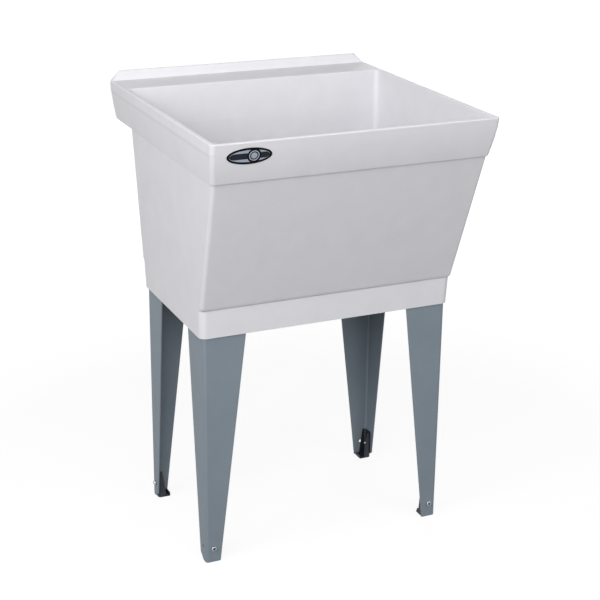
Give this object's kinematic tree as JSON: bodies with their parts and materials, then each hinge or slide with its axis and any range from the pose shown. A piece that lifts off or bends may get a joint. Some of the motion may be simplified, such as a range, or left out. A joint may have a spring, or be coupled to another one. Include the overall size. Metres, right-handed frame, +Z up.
{
  "type": "utility laundry sink",
  "caption": "Free-standing utility laundry tub: one-piece moulded basin with a bare rear deck and low splash ridge, on folded steel legs with adjustable feet.",
  "frame": {"origin": "on the floor, midway across the width and midway between the rim's front and rear edges", "axes": "+X to the right seen from the front, +Y to the wall behind, +Z up from the floor"},
  "size_m": [0.5842, 0.5957, 0.922],
  "materials": {
    "moulded_shell": "satin white moulded fibreglass, faint speckle",
    "name_plate": "dark gloss with a pale rim",
    "leg_steel": "satin grey coated sheet steel",
    "leveller_steel": "black coated stamping",
    "zinc_steel": "bright zinc plate",
    "drain_steel": "polished stainless steel",
    "rubber_seal": "black rubber",
    "stopper_rubber": "black moulded rubber",
    "fibre_washer": "pressed fibre",
    "nut_plastic": "white moulded plastic",
    "outlet_plastic": "white plastic tube"
  },
  "bodies": {
    "tub": {"tub_shell": "moulded_shell", "badge_plate": "name_plate", "leg_front_left": "leg_steel", "leg_front_right": "leg_steel", "leg_rear_right": "leg_steel", "leg_rear_left": "leg_steel", "leveller_screw_front_left": "zinc_steel", "leveller_screw_front_right": "zinc_steel", "leveller_screw_rear_right": "zinc_steel", "leveller_screw_rear_left": "zinc_steel", "leveller_nut_front_left": "zinc_steel", "leveller_nut_front_right": "zinc_steel", "leveller_nut_rear_right": "zinc_steel", "leveller_nut_rear_left": "zinc_steel", "drain_body": "drain_steel", "drain_gasket": "rubber_seal", "drain_friction_washer": "fibre_washer", "drain_locknut": "nut_plastic", "tailpiece_washer": "fibre_washer", "tailpiece": "outlet_plastic", "tailpiece_nut": "nut_plastic"},
    "stopper": {"stopper": "stopper_rubber"},
    "foot_front_left": {"leveller_front_left": "leveller_steel"},
    "foot_front_right": {"leveller_front_right": "leveller_steel"},
    "foot_rear_right": {"leveller_rear_right": "leveller_steel"},
    "foot_rear_left": {"leveller_rear_left": "leveller_steel"}
  },
  "joints": [
    {"name": "foot_front_left_slide", "type": "slide", "parent": "tub", "child": "foot_front_left", "axis": [0, 0, -1], "range_m": [0, 0.022]},
    {"name": "foot_front_right_slide", "type": "slide", "parent": "tub", "child": "foot_front_right", "axis": [0, 0, -1], "range_m": [0, 0.022]},
    {"name": "foot_rear_right_slide", "type": "slide", "parent": "tub", "child": "foot_rear_right", "axis": [0, 0, -1], "range_m": [0, 0.022]},
    {"name": "foot_rear_left_slide", "type": "slide", "parent": "tub", "child": "foot_rear_left", "axis": [0, 0, -1], "range_m": [0, 0.022]},
    {"name": "stopper_lift", "type": "slide", "parent": "tub", "child": "stopper", "axis": [0, 0, 1], "range_m": [0, 0.06]}
  ]
}
